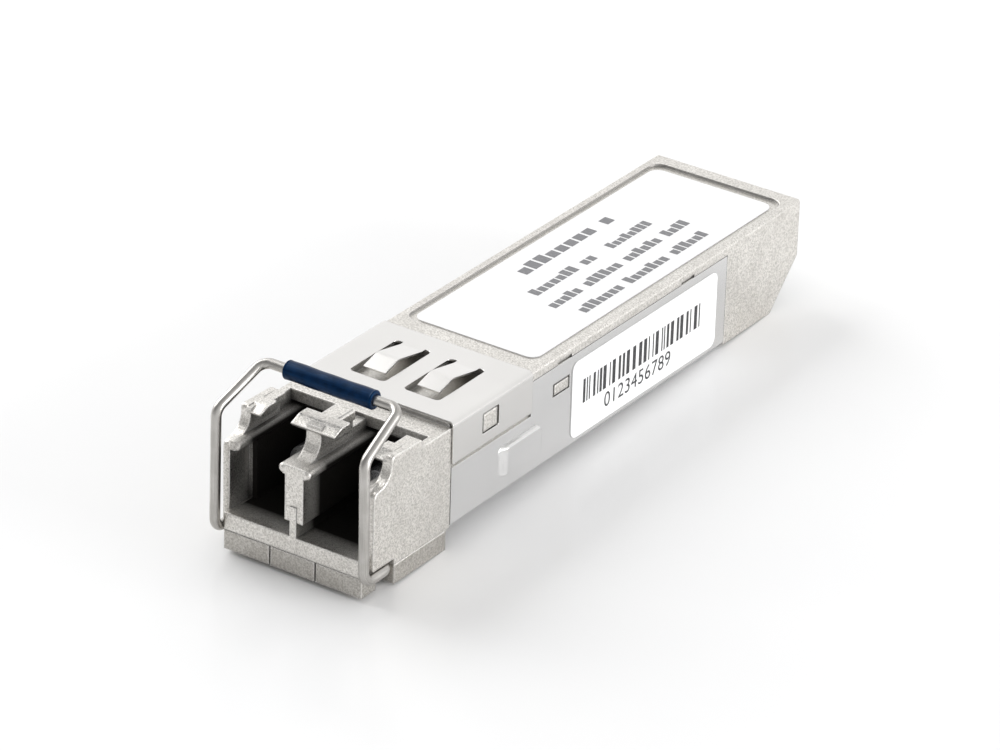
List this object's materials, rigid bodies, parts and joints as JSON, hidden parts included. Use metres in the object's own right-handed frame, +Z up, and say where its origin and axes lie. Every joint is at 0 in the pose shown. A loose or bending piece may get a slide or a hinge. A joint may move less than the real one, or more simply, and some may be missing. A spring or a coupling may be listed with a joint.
{
  "type": "optical transceiver module",
  "caption": "Pluggable fibre optic transceiver with a duplex socket front, wire bail latch, sprung collar and edge connector.",
  "frame": {"origin": "middle of the underside of the bounding box, below the module's centre, level with the bottom of the latch base", "axes": "+Y along the module from the fibre ports to the edge connector, +X to the right as seen facing the ports, +Z up towards the labelled top"},
  "size_m": [0.014, 0.058, 0.0142],
  "materials": {
    "cast_nickel": "die-cast zinc, satin nickel plate",
    "sheet_nickel": "nickel-plated sheet steel",
    "spring_nickel": "nickel-plated spring steel",
    "wire_steel": "drawn stainless wire",
    "grip_vinyl": "navy blue vinyl sleeve",
    "label_film": "white polyester label",
    "board_laminate": "green solder mask over glass laminate",
    "gold_contact": "gold-plated copper",
    "optics_steel": "machined stainless",
    "can_gold": "gold-flashed can",
    "zirconia": "zirconia ceramic",
    "flex_polyimide": "amber polyimide",
    "gasket_foam": "conductive elastomer",
    "pad_silicone": "thermal silicone",
    "chip_epoxy": "moulded epoxy package",
    "ferrite": "ferrite",
    "ceramic_chip": "ceramic capacitor body"
  },
  "bodies": {
    "housing": {"main_housing": "cast_nickel", "nose_base": "cast_nickel", "base_screws": "optics_steel", "bottom_cover": "sheet_nickel", "emi_collar": "spring_nickel", "latch_pin": "optics_steel", "latch_spring": "spring_nickel", "top_label": "label_film", "side_label": "label_film", "circuit_board": "board_laminate", "edge_contacts": "gold_contact", "tosa_barrel": "optics_steel", "tosa_can": "can_gold", "tosa_sleeve": "zirconia", "tosa_flex": "flex_polyimide", "rosa_barrel": "optics_steel", "rosa_can": "can_gold", "rosa_sleeve": "zirconia", "rosa_flex": "flex_polyimide", "osa_gasket": "gasket_foam", "osa_clamp": "spring_nickel", "thermal_pad": "pad_silicone", "laser_driver": "chip_epoxy", "limiting_amplifier": "chip_epoxy", "microcontroller": "chip_epoxy", "eeprom": "chip_epoxy", "inductors": "ferrite", "capacitors": "ceramic_chip"},
    "bail": {"bail_wire": "wire_steel", "bail_grip": "grip_vinyl"},
    "latch": {"latch_lever": "cast_nickel"}
  },
  "joints": [
    {"name": "bail_swing", "type": "hinge", "parent": "housing", "child": "bail", "pos_m": [0, -0.02542, 0.0016], "axis": [1, 0, 0], "range_deg": [0, 90]},
    {"name": "latch_tilt", "type": "hinge", "parent": "housing", "child": "latch", "pos_m": [0, -0.02152, 0.00068], "axis": [1, 0, 0], "range_deg": [0, 5.2], "deforming": ["latch_spring"]}
  ],
  "couplings": [
    {"joint": "latch_tilt", "follows": "bail_swing", "ratio": 0.057778}
  ]
}
